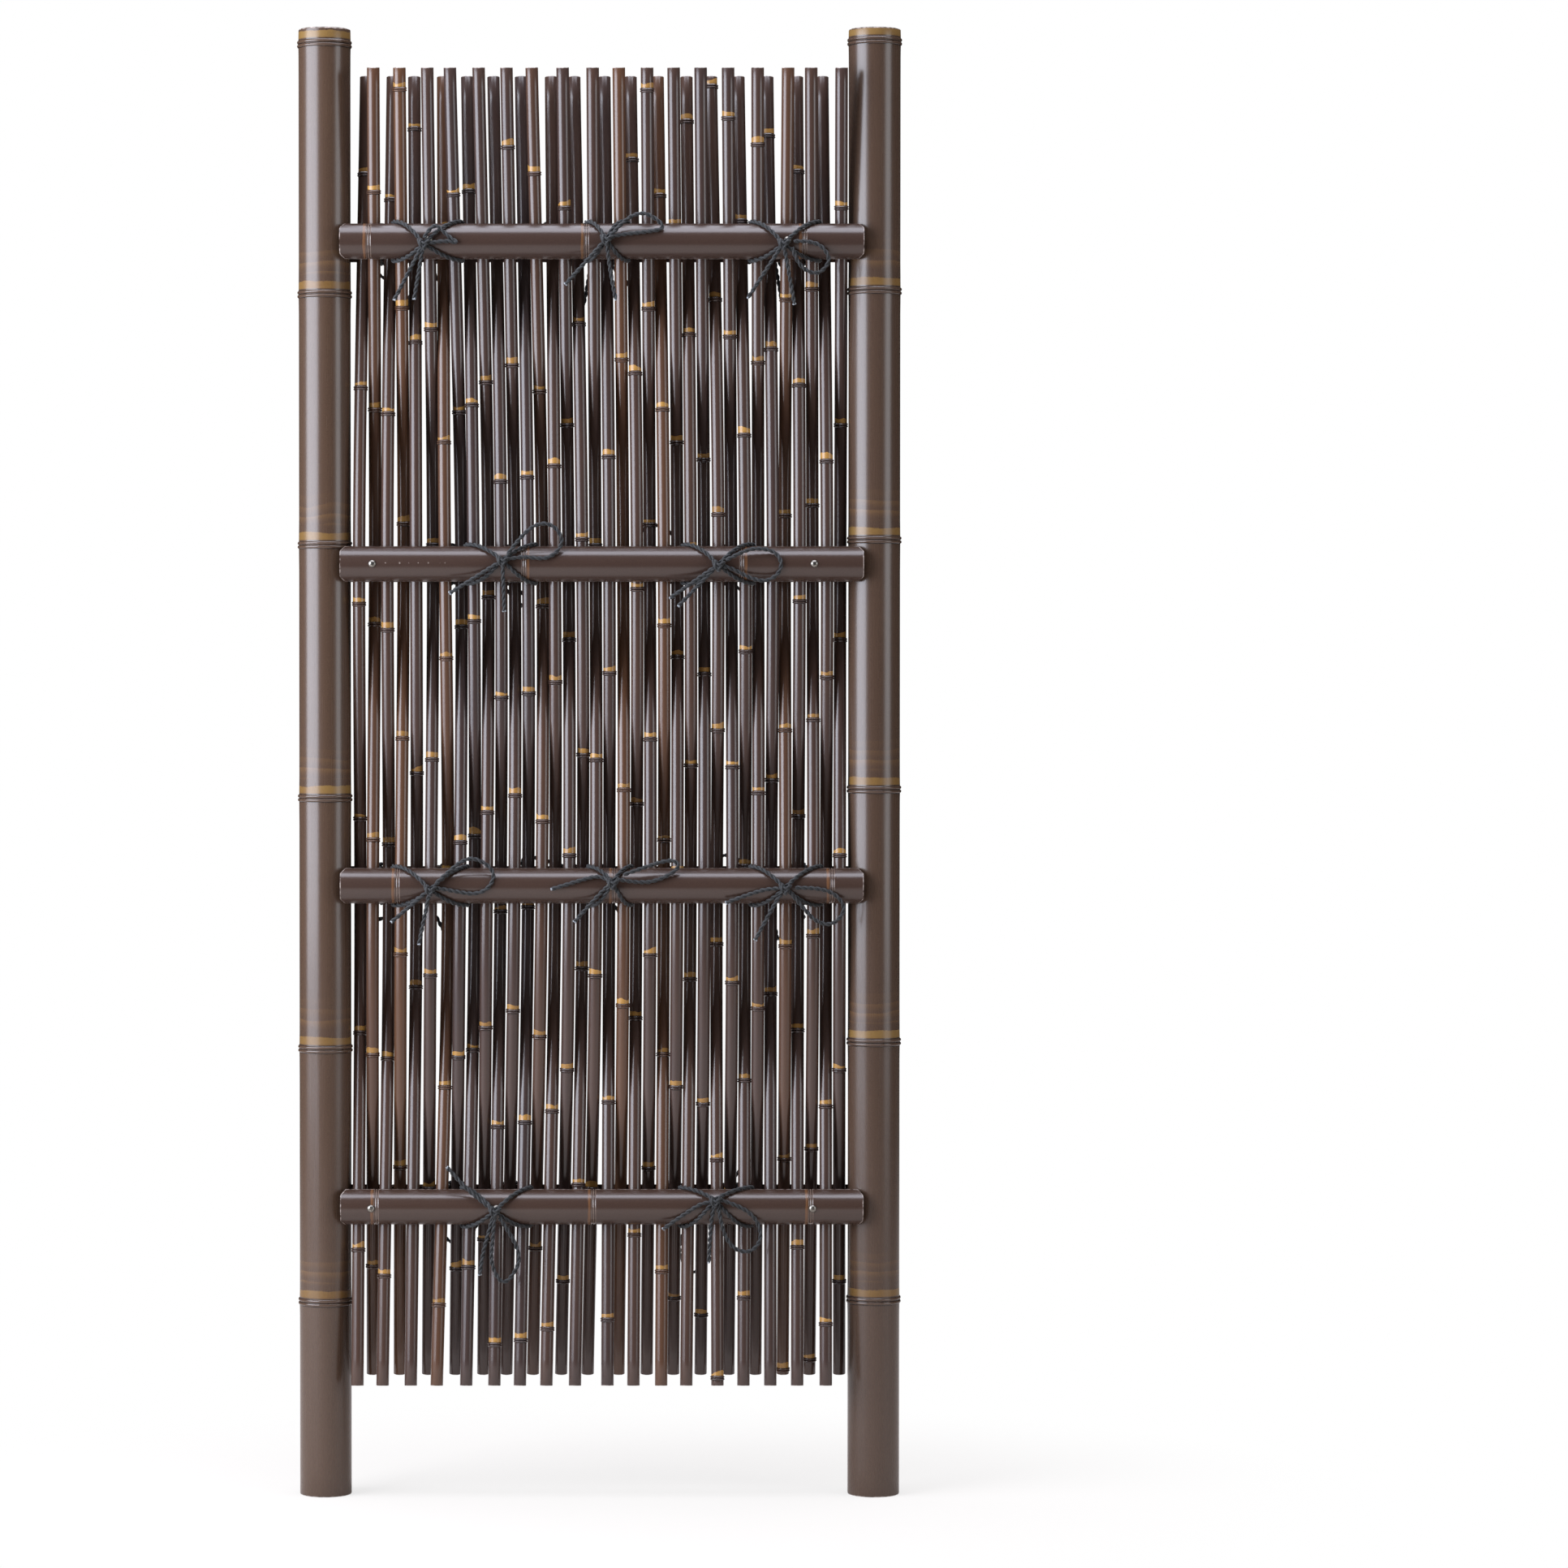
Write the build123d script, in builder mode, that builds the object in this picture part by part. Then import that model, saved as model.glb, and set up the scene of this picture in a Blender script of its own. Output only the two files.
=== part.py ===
from build123d import *
import math
import os

os.makedirs("parts", exist_ok=True)

# Two-sided garden fence panel: slim bamboo canes woven over four hidden bars between two posts,
# with a half-round rail over each bar on both sides, screwed through and tied with twisted cord.
# Millimetres. Z is up, X runs along the panel and the front faces -Y. The origin is on the
# ground, midway between the posts.

# Posts
panel_width = 697.0
panel_height = 1700.0
post_d = 60.0
post_wall = 3.0
post_ring_height = 1.0
post_ring_width = 5.0
left_post_rings = (225.0, 519.0, 810.0, 1103.0, 1393.0, 1682.0)
right_post_rings = (227.0, 527.0, 820.0, 1109.0, 1397.0, 1685.0)
cap_depth = 12.0
cap_fit = 0.2

# Square tubes inside the weave
bar_side = 14.0
bar_wall = 1.5
bar_hole_fit = 0.3
bar_reach_in_post = 8.0

# Canes
cane_d = 14.6
cane_sides = 12
cane_gap = 1.4
cane_length = 1518.0
cane_bottom = 134.0
back_cane_drop = 3.0
contact_gap = 0.3
bend_share = 0.85

# Half-round rails
rail_d = 41.0
rail_wall = 2.5
rail_length = 604.0
rail_shift = 2.5
rail_corner_cut = 5.5
top_rail_height = 1453.0
rail_pitch = 372.0

# Cord of the ties
cord_d = 4.3
knot_across = 15.0
knot_height = 13.0
loop_drop = 3.0
loop_parting = 5.2
tail_drop = 4.5
wrap_turn = 81.0

# Places that follow from the sizes above
post_r = post_d / 2
post_x = panel_width / 2 - post_r
clear_width = panel_width - 2 * post_d
cane_count = int(clear_width // (cane_d + cane_gap))
cane_spacing = clear_width / cane_count
cane_top = cane_bottom + cane_length
levels = (0, 1, 2, 3)
rail_heights = [top_rail_height - level * rail_pitch for level in levels]

# The weave. Each cane is straight between two bends, which lie between the outer rails and the
# inner ones, so it passes the four bars in front, behind, in front and behind, or the reverse.
# weave_offset is how far its middle lies off the bars' plane there.
steepness = (4 - 2 * bend_share) / (bend_share * rail_pitch)
reach = ((bar_side + cane_d) / 2 + contact_gap) / (1 - steepness * bar_side / 2)
weave_offset = reach * math.hypot(1, steepness * reach)
bend_offset = weave_offset * (3 - 2 * bend_share)
tip_slope = steepness * weave_offset
middle_slope = 2 * weave_offset / rail_pitch
upper_bend = rail_heights[0] - bend_share * rail_pitch
lower_bend = rail_heights[3] + bend_share * rail_pitch

# Where the flat side of each half-round rail lies: on the canes, which slope more under the
# outer rails than under the inner ones, or on the round of the posts where that is further out.
rail_r = rail_d / 2
rail_reach = rail_length / 2 + rail_shift - (rail_corner_cut - rail_wall)
over_posts = math.sqrt(max(post_r**2 - (post_x - rail_reach) ** 2, 0))


def seat(slope):
    """How far out a rail rests on canes that pass it at this slope."""
    over_canes = weave_offset + slope * rail_r + cane_d / 2 * math.hypot(1, slope)
    return max(over_canes, over_posts) + contact_gap


rail_planes = [seat(slope) for slope in (tip_slope, middle_slope, middle_slope, tip_slope)]

# How far each cane drifts sideways from even spacing, as a hand-woven panel does:
# at its top end, its upper bend, its lower bend and its bottom end.
cane_drift = (
    (8.5, 2.5, 2.0, 0.5),
    (4.0, 3.5, 1.5, -1.0),
    (7.5, 3.0, 3.0, -2.5),
    (2.0, 4.5, 2.0, -1.5),
    (0.5, 4.0, 3.0, -2.0),
    (2.0, 6.5, 4.5, -0.5),
    (2.0, 5.0, 7.5, -4.0),
    (-4.0, 7.0, 6.0, -0.5),
    (-2.0, 6.0, 6.5, -2.0),
    (-3.0, 6.5, 5.0, 0.0),
    (-3.5, 6.0, 4.5, -1.5),
    (-3.0, 5.0, 5.0, -5.0),
    (-3.5, 5.0, 4.5, -4.0),
    (-6.0, 5.0, 4.5, -6.0),
    (-0.5, 4.0, 4.0, -5.5),
    (-2.5, 3.5, 4.5, -5.0),
    (-5.5, 3.5, 4.0, -4.5),
    (0.0, 3.0, 3.5, -6.0),
    (-2.5, 3.0, 3.0, 1.0),
    (-2.0, 3.0, 3.5, -2.0),
    (-4.0, 3.0, 2.5, -1.0),
    (-1.5, 2.0, 2.5, -1.0),
    (-4.5, 2.0, 2.5, -1.0),
    (-3.0, 2.0, 1.5, -2.0),
    (-3.0, 1.0, 1.5, -4.0),
    (-4.0, 1.0, 1.0, -2.0),
    (-6.5, 1.0, 0.0, 0.0),
    (-4.5, 0.5, 1.5, -1.5),
    (-6.5, 0.0, 1.0, -2.0),
    (-2.5, 0.0, -0.5, -2.0),
    (-5.0, 0.0, -1.0, -3.0),
    (0.5, -1.0, -1.0, -2.0),
    (-2.5, -1.0, -1.5, -4.0),
    (-5.0, -1.0, -1.0, -3.0),
    (-5.0, -1.5, -1.0, -3.0),
    (-2.0, -0.5, -2.5, 0.0),
)


def starts_behind(cane):
    """Canes alternate: the first one lies behind the top bar, the second in front of it."""
    return cane % 2 == 0


def cane_route(cane):
    """The cane's middle line: top end, upper bend, lower bend, bottom end."""
    side = 1 if starts_behind(cane) else -1
    drop = back_cane_drop if starts_behind(cane) else 0
    middle = (cane + 0.5 - cane_count / 2) * cane_spacing
    drift = cane_drift[cane % len(cane_drift)]
    top = cane_top - drop
    bottom = cane_bottom - drop
    top_offset = weave_offset + tip_slope * (top - rail_heights[0])
    bottom_offset = weave_offset + tip_slope * (rail_heights[3] - bottom)
    heights = (top, upper_bend, lower_bend, bottom)
    offsets = (top_offset, -bend_offset, bend_offset, -bottom_offset)
    return [(middle + d, side * y, z) for d, y, z in zip(drift, offsets, heights)]


def cane_x(cane, height):
    """Where the cane's middle line lies along the panel at a height."""
    route = cane_route(cane)
    for (x_a, _, z_a), (x_b, _, z_b) in zip(route, route[1:]):
        if z_a >= height >= z_b:
            return x_a + (x_b - x_a) * (z_a - height) / (z_a - z_b)
    return route[-1][0]


def twin(cane):
    """The cane that takes this one's place when the panel is turned front to back."""
    return cane_count - 1 - cane


def face_plane(side, level):
    """A rail's flat side as seen from outside: x to the viewer's right, y up, z outwards."""
    place = (0, side * rail_planes[level], rail_heights[level])
    return Plane(origin=place, x_dir=(-side, 0, 0), z_dir=(0, side, 0))


def ringed_outline(stop, rings):
    """A post's outer outline up its height, with a low pointed ring at each bamboo node."""
    points = [(post_r, 0)]
    for ring in rings:
        if post_ring_width < ring < stop - post_ring_width:
            points.append((post_r, ring - post_ring_width / 2))
            points.append((post_r + post_ring_height, ring))
            points.append((post_r, ring + post_ring_width / 2))
    points.append((post_r, stop))
    return points


def make_post(name, side, rings):
    """A hollow post with its node rings and holes for the bars on its inner side."""
    bore_r = post_r - post_wall
    outline = ringed_outline(panel_height, rings)
    with BuildPart() as post:
        with BuildSketch(Plane(origin=(side * post_x, 0, 0), x_dir=(1, 0, 0), z_dir=(0, -1, 0))):
            with BuildLine():
                Polyline(*outline, (bore_r, panel_height), (bore_r, 0), close=True)
            make_face()
        revolve(axis=Axis((side * post_x, 0, 0), (0, 0, 1)))
        with BuildSketch(Plane(origin=(side * post_x, 0, 0), x_dir=(0, 1, 0), z_dir=(-side, 0, 0))):
            with Locations(*[(0, -side * height) for height in rail_heights]):
                Rectangle(bar_side + 2 * bar_hole_fit, bar_side + 2 * bar_hole_fit)
        extrude(amount=post_d, mode=Mode.SUBTRACT)
    post.part.label = name
    export_step(post.part, f"parts/{name}.step")


def make_caps(name):
    """The two caps, pressed flush into the posts' open tops."""
    with BuildPart() as caps:
        with BuildSketch(Plane(origin=(0, 0, panel_height - cap_depth))):
            with Locations((-post_x, 0), (post_x, 0)):
                Circle(post_r - post_wall - cap_fit)
        extrude(amount=cap_depth)
    caps.part.label = name
    export_step(caps.part, f"parts/{name}.step")


def make_bar(name, height):
    """The square tube inside the weave, with both ends inside the posts."""
    half_length = post_x - post_r + post_wall + bar_reach_in_post
    with BuildPart() as bar:
        with BuildSketch(Plane(origin=(-half_length, 0, height), x_dir=(0, 1, 0), z_dir=(1, 0, 0))):
            Rectangle(bar_side, bar_side)
            Rectangle(bar_side - 2 * bar_wall, bar_side - 2 * bar_wall, mode=Mode.SUBTRACT)
        extrude(amount=2 * half_length)
    bar.part.label = name
    export_step(bar.part, f"parts/{name}.step")


def make_cane(name, cane):
    """One woven cane, a slim many-sided rod bent twice."""
    route = cane_route(cane)
    start = Vector(*route[0])
    along = Vector(*route[1]) - start
    with BuildPart() as stick:
        with BuildLine() as line:
            Polyline(*route)
        with BuildSketch(Plane(origin=start, z_dir=along)):
            RegularPolygon(cane_d / 2, cane_sides)
        sweep(path=line.wire(), transition=Transition.RIGHT)
    stick.part.label = name
    export_step(stick.part, f"parts/{name}.step")


def make_rail(name, side, level):
    """A half-round shell rail with its corners cut off, over one bar."""
    inner_r = rail_r - rail_wall
    face = face_plane(side, level)
    middle = Plane(face.from_local_coords(Vector(rail_shift, 0, 0)), x_dir=(0, 0, 1), z_dir=(1, 0, 0))
    with BuildPart() as rail:
        with BuildSketch(middle):
            with BuildLine():
                outer = CenterArc((0, 0), rail_r, 0, -side * 180)
                inner = CenterArc((0, 0), inner_r, 0, -side * 180)
                Line(outer @ 0, inner @ 0)
                Line(outer @ 1, inner @ 1)
            make_face()
        extrude(amount=rail_length / 2, both=True)
        with BuildSketch(face):
            with Locations((rail_shift, 0)):
                Rectangle(rail_length, rail_d)
            chamfer(vertices(), rail_corner_cut)
        extrude(amount=rail_d, mode=Mode.INTERSECT)
    rail.part.label = name
    export_step(rail.part, f"parts/{name}.step")


# Ties. Each one is a cord laid crosswise over the rail and knotted on its crown, with one loop
# and two tails. level and canes give the rail and the canes under the knot, counted from 0 at
# the left of the front. Points are (right, up) from there, as seen from outside. ends are how
# far the crossing cord's four ends reach along the rail: upper left, upper right, lower left
# and lower right.
ties = (
    dict(level=0, canes=(5,), knot=(-4, -3), ends=(-40, 33, -38, 37),
         loop=((4, 26), (24, 8), (44, -10), (18, -4)),
         tails=((-40, -69), (-17, -68))),
    dict(level=0, canes=(17, 19), knot=(0, 1), ends=(-21, 18, -22, 22),
         loop=((4, 4), (44, 36), (72, 15), (36, 7)),
         tails=((-48, -51), (10, -69))),
    dict(level=0, canes=(31,), knot=(-4, -3), ends=(-40, 36, -40, 35),
         loop=((4, 0), (48, -8), (38, -44), (8, -26)),
         tails=((-46, -67), (8, -74))),
    dict(level=1, canes=(10,), knot=(2, 4), ends=(-36, 40, -35, 39),
         loop=((6, 12), (46, 56), (76, 20), (40, 4)),
         tails=((-59, -34), (4, -55))),
    dict(level=1, canes=(26,), knot=(-1, -1), ends=(-36, 34, -33, 38),
         loop=((6, 4), (56, 24), (74, -14), (34, -18)),
         tails=((-57, -40), (-47, -49))),
    dict(level=2, canes=(5,), knot=(0, -3), ends=(-38, 42, -38, 41),
         loop=((6, 4), (48, 38), (78, 4), (40, -10)),
         tails=((-45, -41), (-13, -67))),
    dict(level=2, canes=(17, 19), knot=(3, 4), ends=(-23, 23, -20, 23),
         loop=((10, 10), (72, 38), (84, 16), (36, 4)),
         tails=((-68, -3), (-41, -41))),
    dict(level=2, canes=(31,), knot=(-2, -1), ends=(-39, 37, -37, 35),
         loop=((6, 0), (66, -6), (58, -48), (20, -28)),
         tails=((-70, -19), (-36, -62))),
    dict(level=3, canes=(10,), knot=(-2, -2), ends=(-37, 38, -38, 36),
         loop=((-3, -12), (-8, -80), (24, -90), (24, -36)),
         tails=((-57, 48), (-19, -77))),
    dict(level=3, canes=(26,), knot=(-2, 7), ends=(-40, 35, -40, 36),
         loop=((2, 2), (22, -54), (56, -44), (38, -4)),
         tails=((-63, -24), (-10, -63))),
)
knot_seat = rail_r + contact_gap
knot_top = knot_seat + knot_height
tail_fall = 3.0


def wrap_route(left, right, up):
    """One of the two crossing cords: from edge to edge over the rail's round."""
    steps = (1, 1 / 3, -1 / 3, -1)
    wrap_r = (rail_r + contact_gap + cord_d / math.sqrt(2)) / math.cos(math.radians(wrap_turn / 3))
    route = []
    for step in steps:
        turn = math.radians(wrap_turn * step)
        x = (left + right) / 2 + (left - right) / 2 * step
        route.append((x, up * wrap_r * math.sin(turn), wrap_r * math.cos(turn)))
    return route


def loop_route(knot, points):
    """The loop, out of one side of the knot, in front of the rail and back into the other."""
    middle = Vector(*knot)
    half_gap = (Vector(*points[0]) - Vector(*points[-1])).normalized() * loop_parting / 2
    corners = [middle + half_gap, *[Vector(*point) for point in points], middle - half_gap]
    return [(corner.X, corner.Y, knot_top - loop_drop) for corner in corners]


def tail_route(knot, end):
    """A tail, from the knot outwards and a little down towards the canes."""
    return [(*knot, knot_top - tail_drop), (*end, knot_top - tail_drop - tail_fall)]


def cord_bar(points, frame):
    """A plain square bar along a cord's route, in the frame of its rail."""
    places = [frame.from_local_coords(Vector(*point)) for point in points]
    with BuildPart() as bar:
        with BuildLine() as line:
            Polyline(*places)
        with BuildSketch(Plane(origin=places[0], z_dir=places[1] - places[0])):
            Rectangle(cord_d, cord_d)
        sweep(path=line.wire(), transition=Transition.RIGHT)
    return bar.part


def make_tie(tie, side):
    """One tie: two crossing cords, the knot, and in front of it the loop and the tails."""
    height = rail_heights[tie["level"]]
    canes = tie["canes"] if side < 0 else [twin(cane) for cane in tie["canes"]]
    crown_x = -side * sum(cane_x(cane, height) for cane in canes) / len(canes)
    crown = face_plane(side, tie["level"])
    frame = Plane(crown.from_local_coords(Vector(crown_x, 0, 0)), x_dir=crown.x_dir, z_dir=crown.z_dir)
    upper_left, upper_right, lower_left, lower_right = tie["ends"]
    routes = [wrap_route(upper_left, lower_right, 1), wrap_route(lower_left, upper_right, -1)]
    routes.append(loop_route(tie["knot"], tie["loop"]))
    routes += [tail_route(tie["knot"], tail) for tail in tie["tails"]]
    bars = [cord_bar(route, frame) for route in routes]
    with BuildPart() as cords:
        with BuildSketch(frame.offset(knot_seat)):
            with Locations(tie["knot"]):
                RegularPolygon(knot_across / 2, 6)
        extrude(amount=knot_height)
        for bar in bars:
            add(bar)
    return cords.part


def make_ties(name, level):
    """The ties of one level, front and back. The back is the front turned round."""
    knots = [make_tie(tie, side) for tie in ties if tie["level"] == level for side in (-1, 1)]
    with BuildPart() as group:
        for knot in knots:
            add(knot)
    group.part.label = name
    export_step(group.part, f"parts/{name}.step")


make_post("post_left", -1, left_post_rings)
make_post("post_right", 1, right_post_rings)
make_caps("post_caps")
for level in levels:
    make_bar(f"inner_bar_{level + 1}", rail_heights[level])
    make_rail(f"front_rail_{level + 1}", -1, level)
    make_rail(f"back_rail_{level + 1}", 1, level)
    make_ties(f"ties_{level + 1}", level)
for cane in range(cane_count):
    make_cane(f"cane_{cane + 1:02d}", cane)
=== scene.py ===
import math
import random

import bmesh
import bpy
import numpy as np
from mathutils import Matrix, Vector
from mathutils.noise import noise as noise_at


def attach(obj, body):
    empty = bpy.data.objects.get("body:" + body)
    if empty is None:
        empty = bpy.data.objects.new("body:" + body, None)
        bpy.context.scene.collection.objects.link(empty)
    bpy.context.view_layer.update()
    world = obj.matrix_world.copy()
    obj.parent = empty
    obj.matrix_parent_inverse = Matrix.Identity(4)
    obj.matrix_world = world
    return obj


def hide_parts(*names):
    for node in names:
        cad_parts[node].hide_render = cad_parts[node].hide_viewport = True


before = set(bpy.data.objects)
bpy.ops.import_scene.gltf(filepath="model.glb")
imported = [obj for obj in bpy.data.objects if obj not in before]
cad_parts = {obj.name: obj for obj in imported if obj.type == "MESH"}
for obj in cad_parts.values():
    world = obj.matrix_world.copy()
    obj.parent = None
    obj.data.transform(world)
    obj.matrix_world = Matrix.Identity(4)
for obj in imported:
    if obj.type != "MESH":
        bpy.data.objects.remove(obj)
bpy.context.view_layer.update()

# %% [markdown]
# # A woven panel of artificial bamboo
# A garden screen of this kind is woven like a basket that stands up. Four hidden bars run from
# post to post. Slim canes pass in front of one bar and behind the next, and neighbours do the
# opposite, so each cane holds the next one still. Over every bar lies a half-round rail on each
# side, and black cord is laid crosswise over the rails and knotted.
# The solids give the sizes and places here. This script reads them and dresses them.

MM = 0.001
CANES = 36
LEVELS = (1, 2, 3, 4)
RAIL_RADIUS = 20.5 * MM
CANE_RADIUS = 7.3 * MM
CORD = 4.3 * MM
POST_RADIUS = 30.0 * MM
POST_WALL = 3.0 * MM

# %% [markdown]
# ## Reading the frame
# A cane of the solids is straight between two bends. The middle of its mesh at each end and
# bend gives four points, and they are enough to lay a softly bending cane through the weave.

# %% Places read from the solids
def corners_of(name):
    """A node's mesh corners as an array."""
    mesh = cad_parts[name].data
    found = np.empty(len(mesh.vertices) * 3)
    mesh.vertices.foreach_get("co", found)
    return found.reshape(-1, 3)


def knees_of(name):
    """The middles of a cane's top end, upper bend, lower bend and bottom end."""
    points = corners_of(name)
    points = points[np.argsort(-points[:, 2])]
    breaks = np.where(np.diff(points[:, 2]) < -50 * MM)[0] + 1
    return [(group.min(axis=0) + group.max(axis=0)) / 2 for group in np.split(points, breaks)]


def rail_place(level):
    """Height of a rail's middle, the distance of its flat side from the bars, and its ends."""
    points = corners_of(f"front_rail_{level}")
    lowest, highest = points.min(axis=0), points.max(axis=0)
    return (lowest[2] + highest[2]) / 2, -highest[1], lowest[0], highest[0]


knees = [knees_of(f"cane_{n:02d}") for n in range(1, CANES + 1)]
rails = {level: rail_place(level) for level in LEVELS}
rail_heights = [rails[level][0] for level in LEVELS]
print("knees of the first cane", [[round(float(v), 4) for v in knee] for knee in knees[0]])
print("rails", {level: [round(float(v), 4) for v in rails[level]] for level in LEVELS})

# %% [markdown]
# ## Curves through few points
# A cubic spline is the shape that a thin strip takes when it is held at some points, so it is
# also the shape of a cane held by the bars. Its slope at both ends is given, because above the
# top bar and below the bottom one the cane is straight.

# %% A strip held at some points
def held_strip(places, values, first_slope, last_slope):
    """A function for the strip's offset at any place, straight beyond the outer holds."""
    places = np.array(places, float)
    values = np.array(values, float)
    steps = np.diff(places)
    rises = np.diff(values) / steps
    count = len(places)
    matrix = np.zeros((count, count))
    wanted = np.zeros(count)
    matrix[0, 0] = matrix[-1, -1] = 1
    wanted[0], wanted[-1] = first_slope, last_slope
    for i in range(1, count - 1):
        matrix[i, i - 1] = 1 / steps[i - 1]
        matrix[i, i] = 2 / steps[i - 1] + 2 / steps[i]
        matrix[i, i + 1] = 1 / steps[i]
        wanted[i] = 3 * (rises[i - 1] / steps[i - 1] + rises[i] / steps[i])
    slopes = np.linalg.solve(matrix, wanted)

    def offset(at):
        if at <= places[0]:
            return values[0] + slopes[0] * (at - places[0])
        if at >= places[-1]:
            return values[-1] + slopes[-1] * (at - places[-1])
        i = int(np.searchsorted(places, at)) - 1
        t = (at - places[i]) / steps[i]
        a, b = values[i], values[i + 1]
        c, d = slopes[i] * steps[i], slopes[i + 1] * steps[i]
        return (a * (1 + 2 * t) * (1 - t) ** 2 + c * t * (1 - t) ** 2
                + b * t * t * (3 - 2 * t) + d * t * t * (t - 1))

    return offset


def cane_line(index):
    """Functions for a cane's x and y at any height, and its two ends."""
    top, upper, lower, bottom = knees[index]
    tip = (top[1] - upper[1]) / (top[2] - upper[2])
    depth = top[1] + tip * (rail_heights[0] - top[2])
    signs = (1, -1, 1, -1)
    heights = rail_heights[::-1]
    across = held_strip(heights, [depth * s for s in signs][::-1], tip, tip)
    places = [bottom, lower, upper, top]
    first = (lower[0] - bottom[0]) / (lower[2] - bottom[2])
    last = (top[0] - upper[0]) / (top[2] - upper[2])
    along = held_strip([p[2] for p in places], [p[0] for p in places], first, last)
    return along, across, top[2], bottom[2]


lines = [cane_line(index) for index in range(CANES)]
print("first cane at the top bar", round(lines[0][0](rail_heights[0]), 4),
      round(lines[0][1](rail_heights[0]), 4))

# %% [markdown]
# ## Sums with sockets
# Both shaders and geometry trees are long sums. A small class lets a socket be added, multiplied
# and compared like a number, so that the rules below read as rules.

# %% Sockets as numbers
def step_of(operation, swap=False):
    """A method that makes a node for this step of a sum. swap puts the socket last."""
    return lambda self, *others: self.make(operation, *(others + (self,) if swap else (self,) + others))


class Sock:
    """An output socket in a tree, or a sum of some."""

    def __init__(self, tree, out):
        self.tree = tree
        self.out = out

    def make(self, operation, *values, clamp=False):
        node = self.tree.nodes.new("ShaderNodeMath")
        node.operation = operation
        node.use_clamp = clamp
        for socket, value in zip(node.inputs, values):
            plug(self.tree, socket, value)
        return Sock(self.tree, node.outputs[0])

    __add__ = step_of("ADD")
    __radd__ = step_of("ADD", swap=True)
    __sub__ = step_of("SUBTRACT")
    __rsub__ = step_of("SUBTRACT", swap=True)
    __mul__ = step_of("MULTIPLY")
    __truediv__ = step_of("DIVIDE")
    sin = step_of("SINE")
    cos = step_of("COSINE")
    size = step_of("ABSOLUTE")
    floor = step_of("FLOOR")
    least = step_of("MINIMUM")
    most = step_of("MAXIMUM")
    under = step_of("LESS_THAN")
    over = step_of("GREATER_THAN")

    def held(self):
        """Not under 0 and not over 1."""
        return self.make("ADD", self, 0.0, clamp=True)

    def ramp(self, start, stop, a=0.0, b=1.0):
        """Smoothly from a to b while this goes from start to stop."""
        node = self.tree.nodes.new("ShaderNodeMapRange")
        node.interpolation_type = "SMOOTHSTEP"
        for socket, value in zip(node.inputs, (self, start, stop, a, b)):
            plug(self.tree, socket, value)
        return Sock(self.tree, node.outputs[0])


scene = bpy.context.scene


def plug(tree, socket, value):
    """Links a socket or sets its number. None leaves it as it is."""
    if isinstance(value, Sock):
        tree.links.new(value.out, socket)
    elif value is not None:
        socket.default_value = value


def put(tree, kind, output=0, **inputs):
    """A node with its settings (lower case) and its inputs (by name), as a socket."""
    node = tree.nodes.new(kind)
    for name, value in inputs.items():
        if hasattr(node, name):
            setattr(node, name, value)
    for name, value in inputs.items():
        if not hasattr(node, name):
            plug(tree, node.inputs[name.replace("_", " ")], value)
    return Sock(tree, node.outputs[output])


def vector_sum(tree, operation, a, b=None, scale=None, output="Vector"):
    """A vector node of two vectors, or of one and a scale."""
    node = tree.nodes.new("ShaderNodeVectorMath")
    node.operation = operation
    for socket, value in zip(node.inputs, (a, b)):
        plug(tree, socket, value)
    if scale is not None:
        plug(tree, node.inputs["Scale"], scale)
    return Sock(tree, node.outputs[output])


def new_tree(name, sockets):
    """A geometry tree with named inputs, its inputs as sockets, and its output node."""
    tree = bpy.data.node_groups.new(name, "GeometryNodeTree")
    tree.interface.new_socket("Geometry", in_out="OUTPUT", socket_type="NodeSocketGeometry")
    for label, kind in sockets:
        tree.interface.new_socket(label, in_out="INPUT", socket_type="NodeSocket" + kind)
    start = tree.nodes.new("NodeGroupInput")
    end = tree.nodes.new("NodeGroupOutput")
    given = {label: Sock(tree, start.outputs[label]) for label, kind in sockets}
    return tree, given, end


def kept(tree, name, kind="FLOAT"):
    """What an attribute of this name says."""
    return put(tree, "GeometryNodeInputNamedAttribute", data_type=kind, Name=name)


def keep(tree, shape, name, value, kind="FLOAT"):
    """The shape with a value kept on each of its points."""
    return put(tree, "GeometryNodeStoreNamedAttribute", data_type=kind, domain="POINT",
               Geometry=shape, Name=name, Value=value)


def finish_tree(tree, given, end, shape):
    """The tree, with this shape in the given material as its result."""
    shape = put(tree, "GeometryNodeRealizeInstances", Geometry=shape)
    shape = put(tree, "GeometryNodeSetMaterial", Geometry=shape, Material=given["Material"])
    plug(tree, end.inputs[0], shape)
    return tree


def plain_mesh(made):
    """A new mesh of an object as its curve or its tree makes it."""
    ready = bpy.context.evaluated_depsgraph_get()
    return bpy.data.meshes.new_from_object(made.evaluated_get(ready), depsgraph=ready)


def grow(base, tree, **values):
    """Runs a tree on a mesh object, and leaves the result as its plain mesh."""
    modifier = base.modifiers.new(tree.name, "NODES")
    modifier.node_group = tree
    wanted = {key.replace("_", " "): value for key, value in values.items()}
    for item in tree.interface.items_tree:
        if item.in_out == "INPUT" and item.name in wanted:
            modifier[item.identifier] = wanted[item.name]
    made = plain_mesh(base)
    base.modifiers.clear()
    old = base.data
    base.data = made
    made.name = base.name
    bpy.data.meshes.remove(old)
    return base


def linked(name, data):
    """A new object in the scene with this data."""
    made = bpy.data.objects.new(name, data)
    scene.collection.objects.link(made)
    return made


def mesh_object(name, points, edges=(), faces=()):
    """A new object of these points."""
    mesh = bpy.data.meshes.new(name)
    mesh.from_pydata([tuple(p) for p in points], list(edges), list(faces))
    return linked(name, mesh)


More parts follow.
